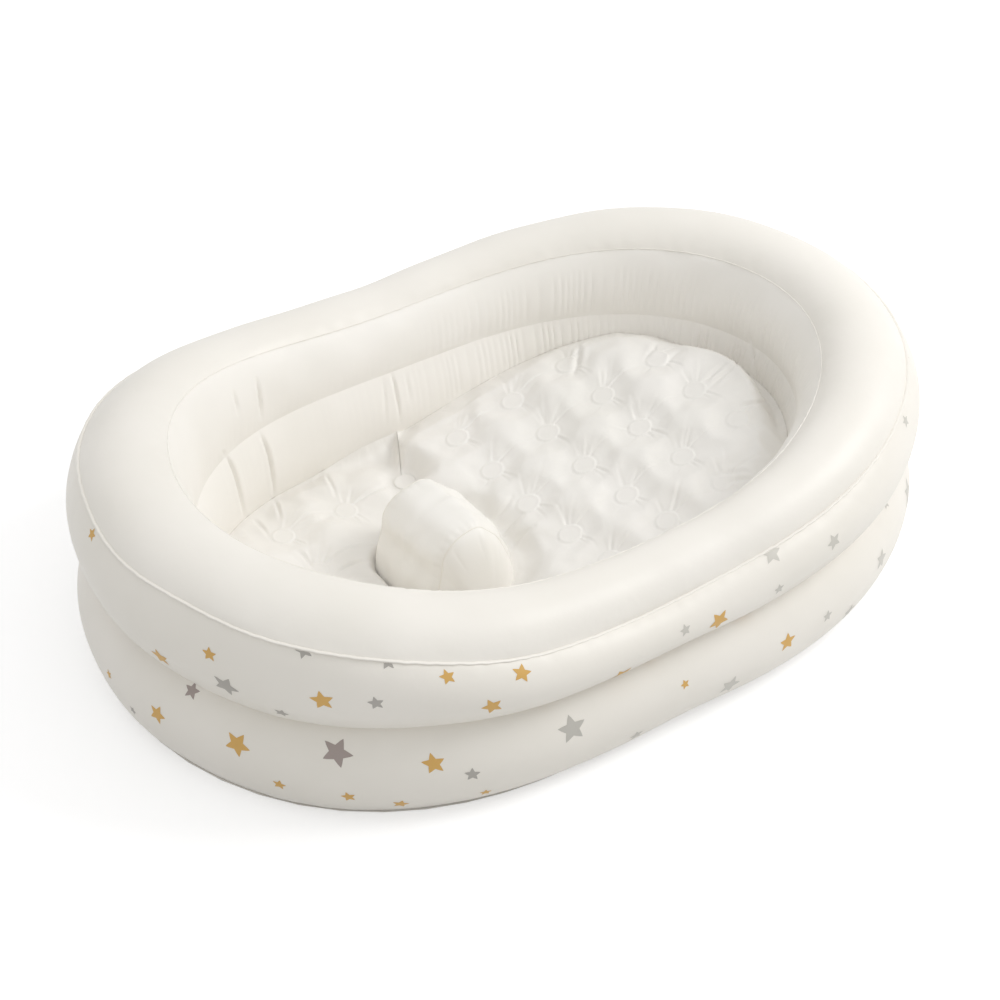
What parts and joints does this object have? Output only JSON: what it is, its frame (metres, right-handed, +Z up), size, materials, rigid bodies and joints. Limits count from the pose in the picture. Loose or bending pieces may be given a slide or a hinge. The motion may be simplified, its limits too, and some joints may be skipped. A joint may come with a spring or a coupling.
{
  "type": "inflatable bathtub",
  "caption": "Oval inflatable bathtub with two air rings, tufted seat and sloped backrest, a saddle horn, valves and a drain plug.",
  "frame": {"origin": "Bottom centre of the tub's outer box, on the surface it stands on.", "axes": "+X along the tub towards the raised backrest, +Y across it, +Z up."},
  "size_m": [0.8568, 0.6048, 0.2187],
  "materials": {
    "vinyl_rim": "soft satin vinyl film, warm white",
    "vinyl_wall": "soft satin vinyl film, warm white, printed with scattered stars",
    "vinyl_floor": "soft satin vinyl film, warm white",
    "vinyl_clear": "moulded soft vinyl, milky"
  },
  "bodies": {
    "tub": {"upper_chamber": "vinyl_rim", "lower_chamber": "vinyl_wall", "partition_web": "vinyl_wall", "outer_rim_weld": "vinyl_rim", "inner_rim_weld": "vinyl_rim", "base_sheet": "vinyl_floor", "seat_cushion": "vinyl_floor", "backrest_cushion": "vinyl_floor", "horn_body": "vinyl_floor", "horn_end_near": "vinyl_floor", "horn_end_far": "vinyl_floor", "upper_valve_flange": "vinyl_clear", "lower_valve_flange": "vinyl_clear", "floor_valve_flange": "vinyl_clear", "horn_valve_flange": "vinyl_clear", "drain_body": "vinyl_clear"},
    "upper_stem": {"upper_valve_stem": "vinyl_clear"},
    "upper_stopper": {"upper_valve_plug": "vinyl_clear"},
    "lower_stem": {"lower_valve_stem": "vinyl_clear"},
    "lower_stopper": {"lower_valve_plug": "vinyl_clear"},
    "floor_stem": {"floor_valve_stem": "vinyl_clear"},
    "floor_stopper": {"floor_valve_plug": "vinyl_clear"},
    "horn_stem": {"horn_valve_stem": "vinyl_clear"},
    "horn_stopper": {"horn_valve_plug": "vinyl_clear"},
    "drain_stopper": {"drain_plug": "vinyl_clear"}
  },
  "joints": [
    {"name": "upper_stem_slide", "type": "slide", "parent": "tub", "child": "upper_stem", "axis": [0.6063, 0.7864, -0.1186], "range_m": [0, 0.008]},
    {"name": "upper_stopper_hinge", "type": "hinge", "parent": "upper_stem", "child": "upper_stopper", "pos_m": [0.32042, 0.22378, 0.14844], "axis": [0.792, -0.6106, 0], "range_deg": [0, 115]},
    {"name": "lower_stem_slide", "type": "slide", "parent": "tub", "child": "lower_stem", "axis": [0.2235, 0.9736, -0.0462], "range_m": [0, 0.008]},
    {"name": "lower_stopper_hinge", "type": "hinge", "parent": "lower_stem", "child": "lower_stopper", "pos_m": [0.18502, 0.28826, 0.05973], "axis": [0.9747, -0.2237, 0], "range_deg": [0, 115]},
    {"name": "floor_stem_slide", "type": "slide", "parent": "tub", "child": "floor_stem", "axis": [0, 0, 1], "range_m": [0, 0.008]},
    {"name": "floor_stopper_hinge", "type": "hinge", "parent": "floor_stem", "child": "floor_stopper", "pos_m": [-0.1275, -0.0945, 0.03645], "axis": [0, 1, 0], "range_deg": [0, 115]},
    {"name": "horn_stem_slide", "type": "slide", "parent": "tub", "child": "horn_stem", "axis": [0, 1, 0], "range_m": [0, 0.008]},
    {"name": "horn_stopper_hinge", "type": "hinge", "parent": "horn_stem", "child": "horn_stopper", "pos_m": [-0.069, 0.0631, 0.0705], "axis": [1, 0, 0], "range_deg": [0, 115]},
    {"name": "drain_stopper_hinge", "type": "hinge", "parent": "tub", "child": "drain_stopper", "pos_m": [-0.191, 0, 0.03195], "axis": [0, 1, 0], "range_deg": [0, 100]}
  ]
}
